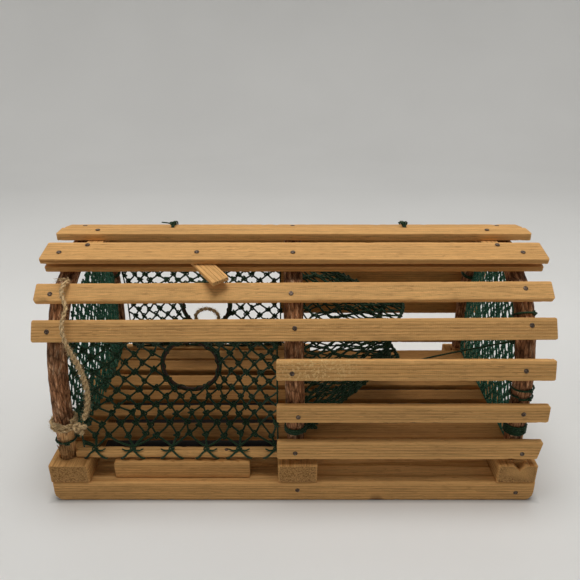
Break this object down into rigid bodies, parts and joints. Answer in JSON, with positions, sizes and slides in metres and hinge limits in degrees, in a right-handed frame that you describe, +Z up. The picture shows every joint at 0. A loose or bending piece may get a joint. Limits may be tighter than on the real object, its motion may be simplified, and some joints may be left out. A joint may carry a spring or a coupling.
{
  "type": "wooden lath trap",
  "caption": "Half-round wooden lath trap for crabs and lobsters, with knotted twine entrance nets and a lath door with a turn-button in its top.",
  "frame": {"origin": "on the ground under the middle of the trap", "axes": "+X to the right along the laths, +Y to the rear, +Z up"},
  "size_m": [0.4064, 0.2078, 0.2083],
  "materials": {
    "pine": "rough-sawn pine, unfinished",
    "bark": "branch with its bark on",
    "net": "knotted twine",
    "jute": "two-ply jute twine",
    "steel": "dull wire nail"
  },
  "bodies": {
    "frame": {"front_runner": "pine", "rear_runner": "pine", "left_sill": "pine", "centre_sill": "pine", "right_sill": "pine", "floor_lath_1": "pine", "floor_lath_2": "pine", "floor_lath_3": "pine", "floor_lath_4": "pine", "floor_lath_5": "pine", "floor_lath_6": "pine", "front_hem_rail": "pine", "rear_hem_rail": "pine", "kick_strip": "pine", "front_lath_1": "pine", "front_lath_2": "pine", "front_lath_3": "pine", "front_lath_4": "pine", "front_lath_5": "pine", "rear_lath_1": "pine", "rear_lath_2": "pine", "rear_lath_3": "pine", "rear_lath_4": "pine", "rear_lath_5": "pine", "rear_top_lath": "pine", "left_bow": "bark", "centre_bow": "bark", "right_bow": "bark", "front_head_net": "net", "front_head_ring": "net", "rear_head_net": "net", "rear_head_ring": "net", "parlour_head_net": "net", "parlour_mouth_loop": "net", "parlour_tie_line": "net", "left_end_net": "net", "right_end_net": "net", "hinge_tie_left": "net", "hinge_tie_right": "net", "jute_line": "jute", "jute_knot": "jute", "jute_foot_wrap": "jute", "bait_loop": "jute"},
    "door": {"door_front_lath": "pine", "door_front_batten": "pine", "door_rear_lath": "pine", "door_cleat_left": "pine", "door_cleat_right": "pine", "door_cleat_nail_front_left": "steel", "door_cleat_nail_front_right": "steel", "door_cleat_nail_rear_left": "steel", "door_cleat_nail_rear_right": "steel", "door_batten_nail_left": "steel", "door_batten_nail_middle": "steel", "door_batten_nail_right": "steel", "door_button_nail": "steel"},
    "door_button": {"door_button": "pine"}
  },
  "joints": [
    {"name": "door_hinge", "type": "hinge", "parent": "frame", "child": "door", "pos_m": [0, 0.012, 0.205], "axis": [-1, 0, 0], "range_deg": [0, 110]},
    {"name": "button_pivot", "type": "hinge", "parent": "door", "child": "door_button", "pos_m": [-0.0785, -0.03704, 0.19369], "axis": [0, -0.205, 0.9788], "range_deg": [-125, 55]}
  ]
}
